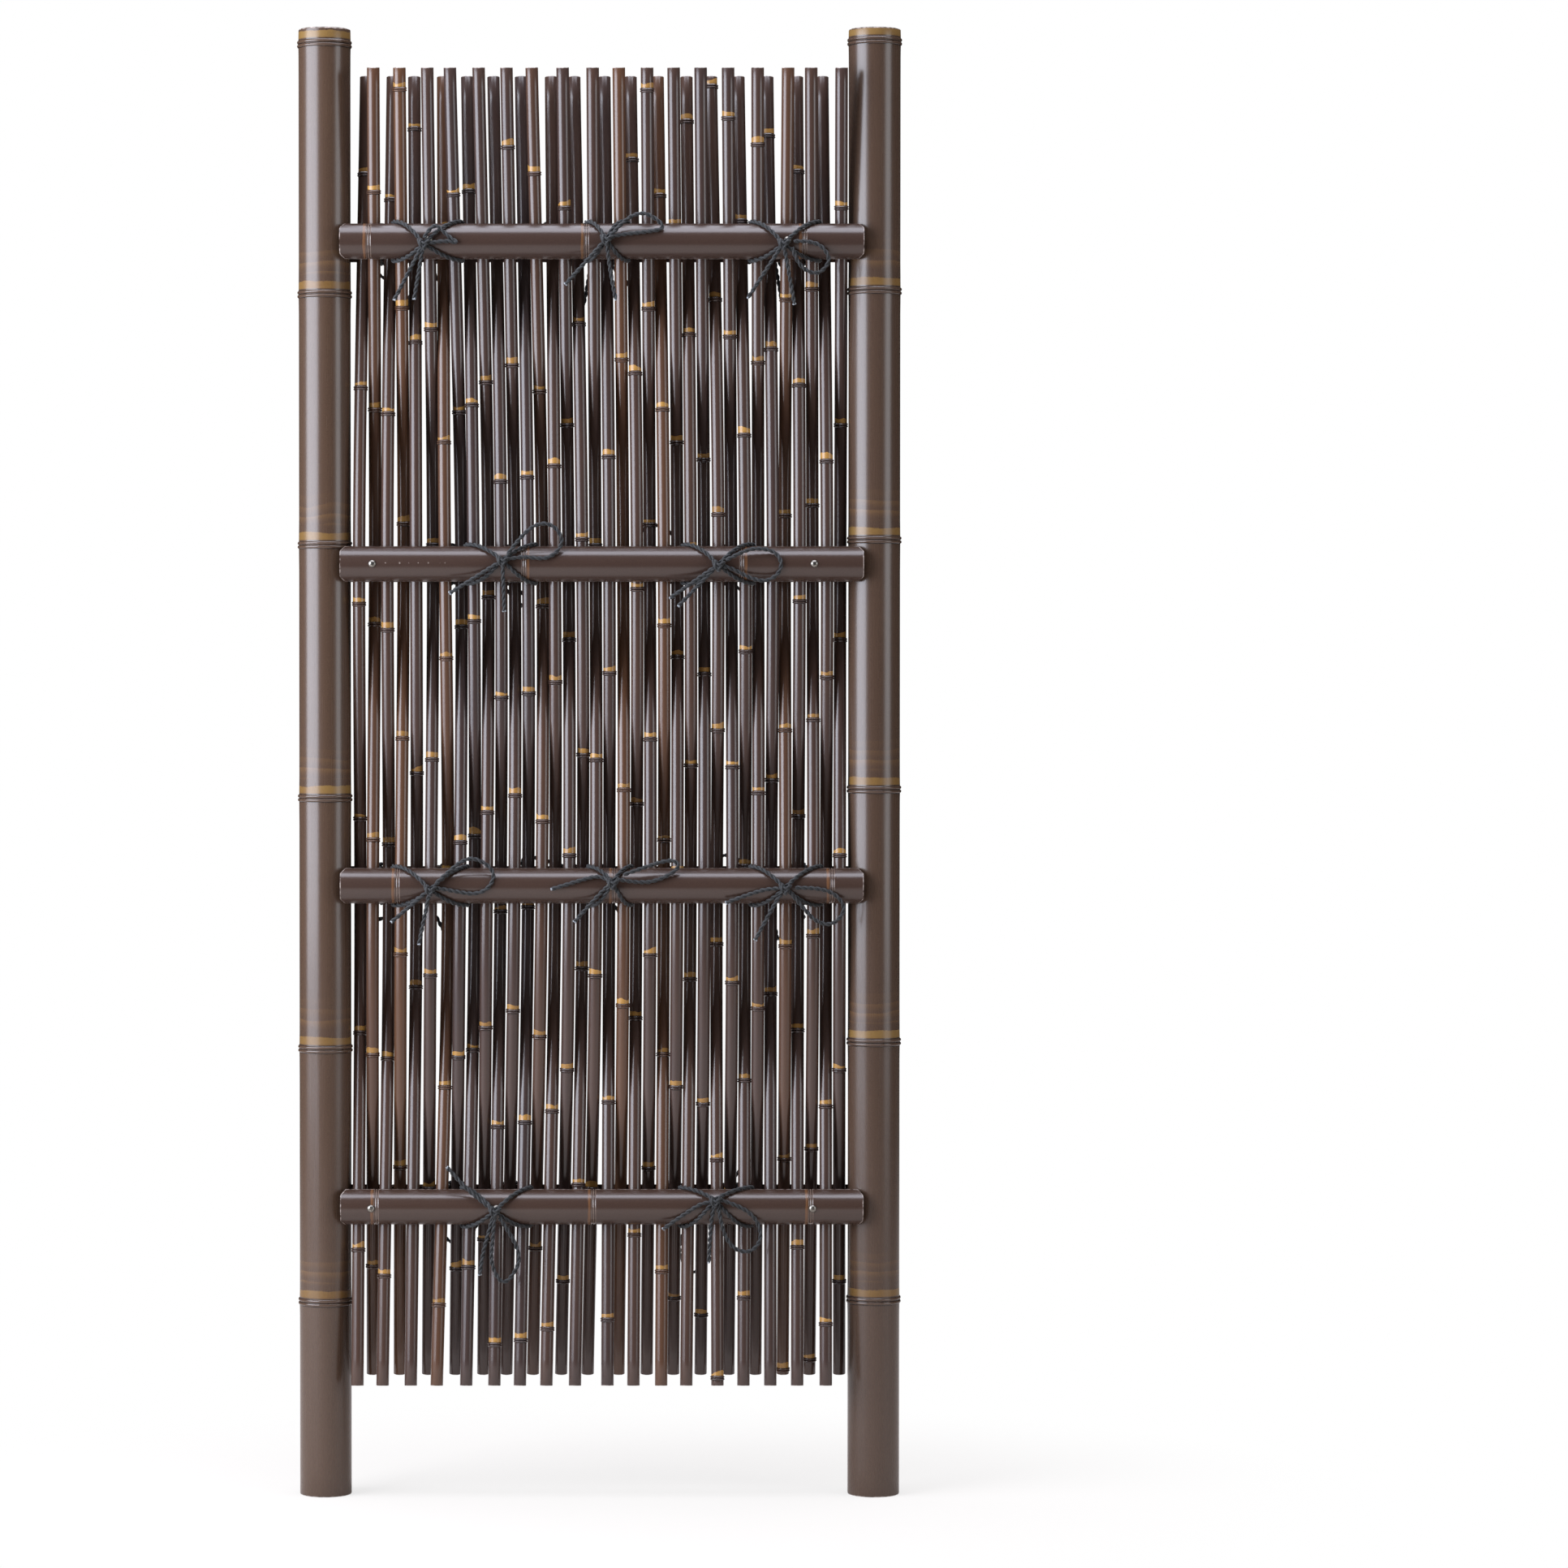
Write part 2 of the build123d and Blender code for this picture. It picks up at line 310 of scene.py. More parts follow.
def chain(name, points, closed=False):
    """A line of points joined by edges."""
    count = len(points)
    edges = [(i, i + 1) for i in range(count - 1)]
    if closed:
        edges.append((count - 1, 0))
    return mesh_object(name, points, edges)


def set_floats(made, name, values):
    """A number for each of the mesh's corners."""
    layer = made.data.attributes.new(name, "FLOAT", "POINT")
    layer.data.foreach_set("value", np.array(values, np.float32))


def outward(made):
    """Turns all faces to look out of the piece."""
    work = bmesh.new()
    work.from_mesh(made.data)
    bmesh.ops.recalc_face_normals(work, faces=work.faces)
    work.to_mesh(made.data)
    work.free()


def drop(*helpers):
    """Removes objects that only helped to make others."""
    for helper in helpers:
        data = helper.data
        bpy.data.objects.remove(helper)
        bpy.data.meshes.remove(data)


def enter(piece, node):
    """The piece rides on the panel in the place of a solid."""
    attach(piece, "root")
    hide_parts(node)


print("helpers ready")

# %% [markdown]
# ## Where the light comes from
# The product was photographed in front of a white sheet, with a large soft box on the left and
# another above. Dark glossy rods show those boxes as pale stripes: upright ones on the posts and
# canes, and level ones along the top of the half-round rails.

# %% Camera, light and floor
def area_light(name, place, aim, size, power, color):
    """A soft box."""
    lamp = bpy.data.lights.new(name, "AREA")
    lamp.shape = "RECTANGLE"
    lamp.size, lamp.size_y = size
    lamp.energy = power
    lamp.color = color
    made = linked(name, lamp)
    made.location = place
    made.rotation_euler = (Vector(aim) - Vector(place)).to_track_quat("-Z", "Y").to_euler()


scene.view_settings.view_transform = "Standard"
camera_data = bpy.data.cameras.new("camera")
camera = linked("camera", camera_data)
scene.camera = camera
camera_data.sensor_width = 36.0
camera_data.lens = 118.5
camera_data.clip_end = 60
camera_data.shift_x = 0.1176
camera_data.shift_y = -0.03
eye_away, eye_height, middle_height = 5.99, 1.0, 0.826
shift_angle = math.atan(camera_data.shift_y * camera_data.sensor_width / camera_data.lens)
drop_angle = math.atan((eye_height - middle_height) / eye_away) + shift_angle
camera.location = (0.0, -eye_away, eye_height)
camera.rotation_euler = (math.pi / 2 - drop_angle, 0, 0)

area_light("key_left", (-2.25, -1.3, 1.62), (0, 0, 1.62), (2.5, 2.45), 200, (0.83, 0.88, 1.0))
area_light("over_head", (0.0, -0.28, 4.0), (0, -0.28, 0.0), (3.4, 2.8), 225, (0.86, 0.88, 1.0))
area_light("fill_right", (3.0, -1.6, 1.4), (0, 0, 1.4), (1.5, 2.2), 42, (0.92, 0.95, 1.0))

world = bpy.data.worlds.new("studio")
scene.world = world
world.use_nodes = True
sky = world.node_tree
sky.nodes.clear()
camera_ray = put(sky, "ShaderNodeLightPath", output="Is Camera Ray")
glossy_ray = put(sky, "ShaderNodeLightPath", output="Is Glossy Ray")
sheet, dimmer = 0.16, 0.12
back = put(sky, "ShaderNodeBackground", Color=(1, 1, 1, 1),
           Strength=camera_ray.most(sheet - glossy_ray * dimmer))
sky.links.new(back.out, sky.nodes.new("ShaderNodeOutputWorld").inputs[0])

floor = mesh_object("floor", [(-3, -3, 0), (3, -3, 0), (3, 3, 0), (-3, 3, 0)], faces=[(0, 1, 2, 3)])
floor_look = bpy.data.materials.new("floor")
floor_look.use_nodes = True
tree = floor_look.node_tree
tree.nodes.clear()
place = put(tree, "ShaderNodeTexCoord", output="Object")
away = vector_sum(tree, "LENGTH", vector_sum(tree, "MULTIPLY", place, (0.8, 1.0, 0.0)), output="Value")
seen = put(tree, "ShaderNodeLightPath", output="Is Camera Ray")
near = 1.0 - seen * (1.0 - away.ramp(0.25, 0.75, 0.28, 0.0))
white = put(tree, "ShaderNodeBsdfDiffuse", Color=(0.60, 0.55, 0.50, 1), Roughness=0.0)
mixed = tree.nodes.new("ShaderNodeMixShader")
plug(tree, mixed.inputs[0], near)
tree.links.new(put(tree, "ShaderNodeBsdfTransparent").out, mixed.inputs[1])
tree.links.new(white.out, mixed.inputs[2])
tree.links.new(mixed.outputs[0], tree.nodes.new("ShaderNodeOutputMaterial").inputs[0])
floor.data.materials.append(floor_look)
print("camera at", [round(v, 3) for v in camera.location])

# %% [markdown]
# ## Stained plastic bamboo
# The tubes are extruded and dipped dark brown. At each node the stain is wiped off above the
# ring, which leaves a gold band with a ragged upper edge, and above that some faint rings of
# colour like those of smoked bamboo. The colour drifts between a cold brown and a warm one.

# %% Materials
def linear(*screen):
    """A colour as seen on screen, from 0 to 255, as the amounts of light."""
    values = [c / 255 for c in screen]
    return tuple(c / 12.92 if c <= 0.04045 else ((c + 0.055) / 1.055) ** 2.4 for c in values) + (1.0,)


def new_look(name):
    """A material with one shader, its tree and the shader's node."""
    look = bpy.data.materials.new(name)
    look.use_nodes = True
    tree = look.node_tree
    tree.nodes.clear()
    shader = tree.nodes.new("ShaderNodeBsdfPrincipled")
    tree.links.new(shader.outputs[0], tree.nodes.new("ShaderNodeOutputMaterial").inputs[0])
    return look, tree, shader


def number(tree, name):
    """A number kept on the piece's corners."""
    return put(tree, "ShaderNodeAttribute", output="Fac", attribute_name=name)


def noise(tree, at, scale, detail=2.0, roughness=0.5):
    """Even noise around 0, from about -1 to 1."""
    return put(tree, "ShaderNodeTexNoise", Vector=at, Scale=scale, Detail=detail,
               Roughness=roughness) * 2.0 - 1.0


def paint(tree, shader, **inputs):
    """Sets or links the shader's inputs."""
    for name, value in inputs.items():
        plug(tree, shader.inputs[name.replace("_", " ")], value)


def blend(tree, share, a, b):
    """A colour between two."""
    node = tree.nodes.new("ShaderNodeMix")
    node.data_type = "RGBA"
    plug(tree, node.inputs[0], share)
    plug(tree, node.inputs[6], a)
    plug(tree, node.inputs[7], b)
    return Sock(tree, node.outputs[2])


def bamboo_look(name, cold, warm, gold, groove_color, grain, band, grooves, contours, rough, speckle,
                wave_scale, tilt, swell, scuffs=()):
    """Stained bamboo. grain stretches the noise. band and grooves are where the gold and the groove
    lines lie, in metres from a ring; the groove lines are painted shade on the posts and canes and
    pale on the rails. contours is the strength of the rings of colour above, tilt how far the gold's
    upper edge wanders, and swell how far the surface heaves. scuffs: place, size."""
    smoke_pitch, groove_half = 0.0118, 0.0006
    look, tree, shader = new_look(name)
    at = put(tree, "ShaderNodeTexCoord", output="Object")
    gap = number(tree, "gap")
    above = number(tree, "above").over(0.5)
    edge = number(tree, "edge")
    tint = number(tree, "tint")
    long_grain = vector_sum(tree, "MULTIPLY", at, grain)
    cloud = noise(tree, at, 9.0, 3.0)
    streak = noise(tree, long_grain, 1.0, 3.0, 0.6)
    fine = noise(tree, at, 900.0, 2.0, 0.7)
    warmth = (tint + cloud * 0.22 + streak * 0.12).held()
    color = blend(tree, warmth, cold, warm)
    dark = blend(tree, (streak * 0.2 + 0.3).held() * 0.45, color, linear(34, 26, 25))
    color = blend(tree, (fine * 0.5 + 0.2).held() * speckle, dark, linear(150, 122, 98))
    start, stop = band
    fringe = noise(tree, at, 420.0, 2.0)
    wave = noise(tree, at, wave_scale)
    reach = gap + wave * (stop - start) * tilt + fringe * (stop - start) * 0.07
    gilt = above * gap.ramp(start - 0.0008, start + 0.0012) * reach.ramp(stop, stop - 0.0006)
    ridge = noise(tree, at, 17.0, 2.0, 0.45)
    step = (gap + ridge * 0.007 + fringe * 0.0006) / smoke_pitch
    rings = step - step.floor()
    smoke = above * gap.ramp(0.021, 0.026) * gap.ramp(0.066, 0.030) * contours
    smoke = smoke * rings * rings * (0.32 + cloud * 0.3).held()
    color = blend(tree, smoke, color, linear(132, 98, 56))
    tarnish = noise(tree, at, 11.0, 1.0)
    dull = (fine * 0.35 + fringe * 0.4 + tarnish * 1.3 + 0.3).held() * 0.65
    color = blend(tree, gilt, color, blend(tree, dull, gold, linear(84, 56, 30)))
    # Lines in the grooves beside the ring beads: painted shade on the posts and canes, pale lines on
    # the rails.
    lines = None
    for groove in grooves:
        line = (gap - groove).size().ramp(groove_half, groove_half / 3)
        lines = line if lines is None else lines.most(line)
    patchy = (noise(tree, at, 130.0, 2.0) + 0.75).held()
    color = blend(tree, lines * patchy, color, groove_color)
    # Pale marks near a piece's ends and edges: chipped wear, and on the cane tips a painted edge
    # highlight. The scuffs add rubbed spots to them.
    chips_and_edge_highlight = (noise(tree, at, 230.0, 3.0) * 1.4 + 0.3).held() * edge.ramp(0.0014, 0.0004)
    for place, size in scuffs:
        off = vector_sum(tree, "DISTANCE", at, place, output="Value")
        chips_and_edge_highlight = chips_and_edge_highlight.most(off.ramp(size, size * 0.3) * (fringe * 1.2 + 0.3).held())
    color = blend(tree, chips_and_edge_highlight, color, linear(182, 168, 160))
    worn = noise(tree, long_grain, 2.2)
    rubbed_ring = gap.ramp(0.0048, 0.0040)
    stretch = [0.25 if amount < 50 else 1.0 for amount in grain]
    heave = noise(tree, vector_sum(tree, "MULTIPLY", at, stretch), 22.0, 1.0)
    relief = fine * 0.0000022 + streak * (swell * 0.08) + heave * swell
    paint(tree, shader, Base_Color=color,
          Roughness=rough + worn * 0.04 + gilt * 0.06 + chips_and_edge_highlight * 0.3 - rubbed_ring * 0.05,
          Normal=put(tree, "ShaderNodeBump", Strength=1.0, Distance=1.0, Height=relief))
    return look


# Rubbed spots along the crown of the second rail from the top, right of its left screw.
scuff_height, scuff_plane = rails[2][0] + 0.001, -rails[2][1] - RAIL_RADIUS
scuffs = [((x, scuff_plane, scuff_height), size) for x, size in (
    (-0.2466, 0.0010), (-0.2304, 0.0014), (-0.2194, 0.0010), (-0.2089, 0.0007), (-0.1973, 0.0012),
    (-0.1839, 0.0009), (-0.1782, 0.0009))]
pale_line = linear(104, 88, 78)
# Painted shade for the grooves beside the ring beads of the posts and canes.
painted_groove_shade = linear(20, 17, 18)
looks = {
    "posts": bamboo_look(
        "post_bamboo", cold=linear(59, 45, 38), warm=linear(70, 51, 37), gold=linear(112, 86, 46),
        groove_color=painted_groove_shade, grain=(130, 130, 3), band=(0.0056, 0.0146), grooves=(0.0, 0.0043),
        contours=0.75, rough=0.27, speckle=0.26, wave_scale=30, tilt=0.34, swell=0.00004),
    "rails": bamboo_look(
        "rail_bamboo", cold=linear(52, 38, 34), warm=linear(60, 44, 36), gold=linear(92, 62, 40),
        groove_color=pale_line, grain=(5, 420, 420), band=(0.0034, 0.0068), grooves=(0.0002, 0.0024),
        contours=0.0, rough=0.25, speckle=0.08, wave_scale=60, tilt=0.34, swell=0.00006, scuffs=scuffs),
    "canes": bamboo_look(
        "cane_bamboo", cold=linear(52, 42, 41), warm=linear(84, 56, 38), gold=linear(154, 114, 56),
        groove_color=painted_groove_shade, grain=(420, 420, 5), band=(0.0026, 0.0080), grooves=(0.0, 0.0024),
        contours=0.0, rough=0.24, speckle=0.06, wave_scale=52, tilt=1.25, swell=0.00002),
}
print("looks:", sorted(looks))

# %% Metal, cap and cord
def plain_look(name, color, rough, metal=0.0, spread=0.1):
    """One colour, with a little unevenness."""
    look, tree, shader = new_look(name)
    at = put(tree, "ShaderNodeTexCoord", output="Object")
    fine = noise(tree, at, 300.0, 3.0)
    color = blend(tree, (fine * spread + spread).held(), color, linear(130, 125, 120))
    paint(tree, shader, Base_Color=color, Roughness=rough + fine * 0.06, Metallic=metal)
    return look


looks["caps"] = plain_look("cap_plastic", linear(44, 38, 37), 0.55)
looks["inner_bars"] = plain_look("bar_aluminium", linear(190, 190, 192), 0.38, 1.0)
looks["screws"] = plain_look("screw_steel", linear(132, 128, 121), 0.36, 1.0, 0.04)


def cord_look():
    """Black twisted cord of fine fibres, with a soft sheen, painted shade between its strands and a
    pale core at its cut ends.
    """
    look, tree, shader = new_look("cord_black")
    at = put(tree, "ShaderNodeTexCoord", output="Object")
    fibre = noise(tree, at, 1500.0, 3.0, 0.7)
    patch = noise(tree, at, 120.0, 2.0)
    # Painted shade and highlight: each strand is painted lighter where it stands out from the cord's
    # middle and darker in the grooves between strands.
    proud = number(tree, "proud").ramp(0.35, 0.95)
    light = (proud * 0.75 + fibre * 0.3 + patch * 0.25).held()
    color = blend(tree, light, linear(3, 4, 5), linear(30, 32, 34))
    cut_end = (noise(tree, at, 700.0, 2.0) + 0.8).held() * number(tree, "tip").ramp(0.0016, 0.0005)
    color = blend(tree, cut_end, color, linear(150, 155, 160))
    paint(tree, shader, Base_Color=color, Roughness=0.68 + fibre * 0.12, Sheen_Weight=0.12,
          Sheen_Roughness=0.4, Normal=put(tree, "ShaderNodeBump", Strength=0.5, Distance=0.0003,
                                          Height=fibre))
    return look


looks["ties"] = cord_look()
print("looks:", sorted(looks))

# %% [markdown]
# ## Two ways to grow a tube
# A post is turned: one closed outline of radius and height, carried round the axis. A cane or a
# rail is drawn: one section carried along a line. On both, small rings stand out at each node.
# The trees keep the distance to the nearest ring on the surface, for the stain to follow.

# %% The turned tree
def turned_tree():
    """Carries an outline round the z axis. The outline's x is the radius."""
    tree, given, end = new_tree("turned", [("Geometry", "Geometry"), ("Sides", "Int"),
                                           ("Rows", "Int"), ("Material", "Material")])
    columns = given["Sides"] + 1.0
    grid = put(tree, "GeometryNodeMeshGrid", Vertices_X=given["Rows"], Vertices_Y=columns)
    index = put(tree, "GeometryNodeInputIndex")
    row = (index / columns + 0.0001).floor()
    turn = (index - row * columns) / given["Sides"] * math.tau
    place = put(tree, "GeometryNodeInputPosition")
    outline = put(tree, "GeometryNodeSampleIndex", data_type="FLOAT_VECTOR",
                  Geometry=given["Geometry"], Value=place, Index=row)
    radius, height = (put(tree, "ShaderNodeSeparateXYZ", output=axis, Vector=outline) for axis in "XZ")
    spot = put(tree, "ShaderNodeCombineXYZ", X=radius * turn.cos(), Y=radius * turn.sin(), Z=height)
    shape = put(tree, "GeometryNodeSetPosition", Geometry=grid, Position=spot)
    for name in ("gap", "above", "edge", "tint"):
        value = put(tree, "GeometryNodeSampleIndex", data_type="FLOAT",
                    Geometry=given["Geometry"], Value=kept(tree, name), Index=row)
        shape = keep(tree, shape, name, value)
    shape = put(tree, "GeometryNodeMergeByDistance", Geometry=shape, Distance=0.00001)
    return finish_tree(tree, given, end, shape)


turned = turned_tree()
print("turned tree:", len(turned.nodes), "nodes")

# %% The drawn tree
def drawn_tree():
    """Carries a section along a line of points. Rings stand out beside the ring points."""
    tree, given, end = new_tree("drawn", [
        ("Geometry", "Geometry"), ("Section", "Object"), ("Ring points", "Object"),
        ("Ring offset", "Float"), ("Ring width", "Float"), ("Ring height", "Float"),
        ("Ease", "Float"), ("Tint", "Float"), ("Material", "Material")])
    line = put(tree, "GeometryNodeMeshToCurve", Mesh=given["Geometry"])
    rings = put(tree, "GeometryNodeObjectInfo", output="Geometry", Object=given["Ring points"])
    section = put(tree, "GeometryNodeObjectInfo", output="Geometry", Object=given["Section"])
    section = put(tree, "GeometryNodeMeshToCurve", Mesh=section)
    place = put(tree, "GeometryNodeInputPosition")
    nearest = tree.nodes.new("GeometryNodeProximity")
    nearest.target_element = "POINTS"
    tree.links.new(rings.out, nearest.inputs[0])
    ring_place = Sock(tree, nearest.outputs["Position"])
    distance = Sock(tree, nearest.outputs["Distance"])
    tangent = put(tree, "GeometryNodeInputTangent")
    ahead = vector_sum(tree, "DOT_PRODUCT", vector_sum(tree, "SUBTRACT", place, ring_place), tangent,
                       output="Value")
    run = put(tree, "GeometryNodeSplineParameter", output="Length")
    whole = put(tree, "GeometryNodeSplineLength")
    for name, value in {"gap": distance, "above": ahead.under(0.0), "edge": run.least(whole - run),
                        "tint": given["Tint"]}.items():
        line = keep(tree, line, name, value)
    shape = put(tree, "GeometryNodeCurveToMesh", Curve=line, Profile_Curve=section, Fill_Caps=True)
    outer = kept(tree, "outer")
    hill = (kept(tree, "gap") - given["Ring offset"]) / given["Ring width"]
    lift = (1.0 - hill * hill).most(0.0) * given["Ring height"] * outer
    ease = (0.0007 - kept(tree, "edge")).most(0.0) * outer * given["Ease"]
    move = vector_sum(tree, "SCALE", put(tree, "GeometryNodeInputNormal"), scale=lift - ease)
    shape = put(tree, "GeometryNodeSetPosition", Geometry=shape, Offset=move)
    return finish_tree(tree, given, end, shape)


drawn = drawn_tree()
print("drawn tree:", len(drawn.nodes), "nodes")

# %% [markdown]
# ## The posts
# Each post is a tube with a pair of thin beads at every node and a dark line of painted shade in
# the grooves beside them. The rings of the two posts aren't level with each other, because each
# tube is cut from its own long one.

# %% Posts
def stations(first, last, places, spacing, reach, step):
    """Even places from first to last, with closer ones near each of some places."""
    found = set(np.round(np.linspace(first, last, int(abs(last - first) / spacing) + 2), 6))
    for place in places:
        near = np.round(np.arange(place - reach, place + reach + step / 2, step), 6)
        found |= {v for v in near if min(first, last) < v < max(first, last)}
    return sorted(found, reverse=bool(last < first))


def bead(distance, offset, width, height):
    """How far a small round bead stands out."""
    return height * max(0.0, 1 - ((distance - offset) / width) ** 2) ** 0.5


def make_post(name, rings, warmth):
    """A turned post in the place of its solid. A row of its outline is radius, height, distance to
    a ring, above it or not, and distance to an end."""
    points = corners_of(name)
    lowest, highest = points.min(axis=0), points.max(axis=0)
    axis_x = (lowest[0] + highest[0]) / 2
    top = highest[2]
    rim, bevel = 1.3 * MM, 0.4 * MM
    far, very_far = 0.02, 0.1
    bore = POST_RADIUS - POST_WALL
    rows = []
    for z in stations(rim, top - rim, rings, spacing=0.03, reach=0.0055, step=0.00025):
        nearest = min(rings, key=lambda ring: abs(z - ring))
        distance = abs(z - nearest)
        swell = bead(distance, offset=0.0022, width=0.0018, height=0.0014)
        bulge = 0.0003 * math.exp(-(distance / 0.012) ** 2)
        rows.append((POST_RADIUS + swell + bulge, z, distance, float(z > nearest), min(z, top - z)))
    for turn in range(1, 6):
        angle = turn / 5 * math.pi / 2
        rows.append((POST_RADIUS - rim + rim * math.cos(angle), top - rim + rim * math.sin(angle),
                     far, 0, 0))
    rows += [(bore + bevel, top, far, 0, 0), (bore, top - bevel, far, 0, far),
             (bore, bevel, very_far, 0, far), (bore + bevel, 0.0, very_far, 0, 0),
             (POST_RADIUS - rim, 0.0, very_far, 0, 0),
             (POST_RADIUS - rim * 0.3, rim * 0.3, very_far, 0, 0), rows[0]]
    outline = chain(name + "_look", [(row[0], 0, row[1]) for row in rows])
    for label, column in (("gap", 2), ("above", 3), ("edge", 4)):
        set_floats(outline, label, [row[column] for row in rows])
    set_floats(outline, "tint", [warmth] * len(rows))
    post = grow(outline, turned, Sides=72, Rows=len(rows), Material=looks["posts"])
    post.data.transform(Matrix.Translation((axis_x, 0, 0)))
    for vertex in post.data.vertices:
        x, y, z = vertex.co
        if z > top - 0.0016:
            angle = math.atan2(y, x - axis_x)
            spot = (math.cos(angle) * 4, math.sin(angle) * 4, axis_x * 9)
            vertex.co.z -= 0.0005 * (1 + noise_at(spot))
    outward(post)
    post.data.shade_smooth()
    enter(post, name)
    return post


left_rings = [v * MM for v in (225, 519, 810, 1103, 1393, 1682)]
right_rings = [v * MM for v in (227, 527, 820, 1109, 1397, 1685)]
posts = [make_post("post_left", left_rings, 0.55), make_post("post_right", right_rings, 0.35)]
print("posts:", [(post.name, len(post.data.polygons)) for post in posts])

# %% [markdown]
# ## The canes
# Every cane starts at its own place in the bamboo's pattern, so its first ring lies at its own
# distance below the top, and the next ones follow at an even pitch. A few canes come from a
# warmer batch.

# %% Canes
# How far each cane's first ring lies below its top, and the rings' pitch, in mm.
first_ring = (
    115, 142, 145, 25, 62, 299, 178, 145, 135, 360, 473, 91, 468, 121, 455, 160, 290, 549,
    195, 334, 98, 26, 140, 180, 53, 200, 12, 58, 170, 88, 70, 265, 112, 253, 200, 160)
RING_PITCH = 249.5
warm_canes = {2: 0.75, 4: 0.95, 7: 0.8, 14: 0.5, 20: 0.9, 23: 0.85, 32: 0.7}
rng = random.Random(23)


def circle_section(name, radius, sides):
    """A round section."""
    turns = [i / sides * math.tau for i in range(sides)]
    made = chain(name, [(radius * math.cos(a), radius * math.sin(a), 0) for a in turns], closed=True)
    set_floats(made, "outer", [1.0] * sides)
    return made


cane_section = circle_section("cane_section", CANE_RADIUS, 20)
canes = []
for n, (x_at, y_at, top, bottom) in enumerate(lines, start=1):
    heights = [top - (first_ring[n - 1] + RING_PITCH * k) * MM for k in range(7)]
    heights = [z for z in heights if z > bottom + 4 * MM]
    levels = stations(top, bottom, heights, spacing=0.03, reach=0.0035, step=0.0005)
    levels += [top - 0.0003, top - 0.0007, bottom + 0.0007, bottom + 0.0003]
    levels.sort(reverse=True)
    line = chain(f"cane_{n:02d}_look", [(x_at(z), y_at(z), z) for z in levels])
    ring_points = mesh_object("ring_points", [(x_at(z), y_at(z), z) for z in heights])
    warmth = warm_canes.get(n, rng.uniform(0.05, 0.4))
    cane = grow(line, drawn, Section=cane_section, Ring_points=ring_points, Ring_offset=0.0012,
                Ring_width=0.0011, Ring_height=0.0012, Ease=0.8, Tint=warmth, Material=looks["canes"])
    outward(cane)
    cane.data.shade_smooth()
    cane.data.set_sharp_from_angle(angle=math.radians(50))
    drop(ring_points)
    enter(cane, f"cane_{n:02d}")
    canes.append(cane)
drop(cane_section)
print("canes:", len(canes), "faces in all", sum(len(c.data.polygons) for c in canes))

# %% [markdown]
# ## The half-round rails
# A rail is half of a thicker bamboo tube, with its corners cut off. It is pulled in a little
# where a screw or a tight cord holds it, and the light along it pinches there.

# %% Rails
RAIL_WALL = 2.5 * MM
CORNER_CUT = 5.5 * MM
RAIL_RING_PITCH = 251 * MM
# By rail, from the top: its first ring's distance from its end in mm, and which way it was laid.
rail_rings = {1: (33.5, 1), 2: (212.0, -1), 3: (66.0, 1), 4: (41.5, 1)}
# The rails and canes at which screws and knots sit.
screw_canes = ((1, (6,)), (1, (32,)), (2, (1, 3)), (2, (33, 35)), (3, (18, 20)), (4, (1, 3)),
               (4, (11,)), (4, (33, 35)))
knot_canes = ((1, (6,)), (1, (18, 20)), (1, (32,)), (2, (11,)), (2, (27,)), (3, (6,)), (3, (18, 20)),
              (3, (32,)), (4, (11,)), (4, (27,)))


def crown_x(level, numbers):
    """The place along a rail of one cane, or midway between two."""
    height = rails[level][0]
    return sum(lines[n - 1][0](height) for n in numbers) / len(numbers)


def shell_section(name):
    """The half ring of a rail's wall, flat side along y."""
    steps = 28
    arc = [math.pi * i / steps for i in range(steps + 1)]
    inner = RAIL_RADIUS - RAIL_WALL
    points = [(RAIL_RADIUS * math.sin(a), RAIL_RADIUS * math.cos(a), 0) for a in arc]
    points += [(inner * math.sin(a), inner * math.cos(a), 0) for a in reversed(arc)]
    made = chain(name, points, closed=True)
    set_floats(made, "outer", [1.0] * len(arc) + [0.0] * len(arc))
    return made


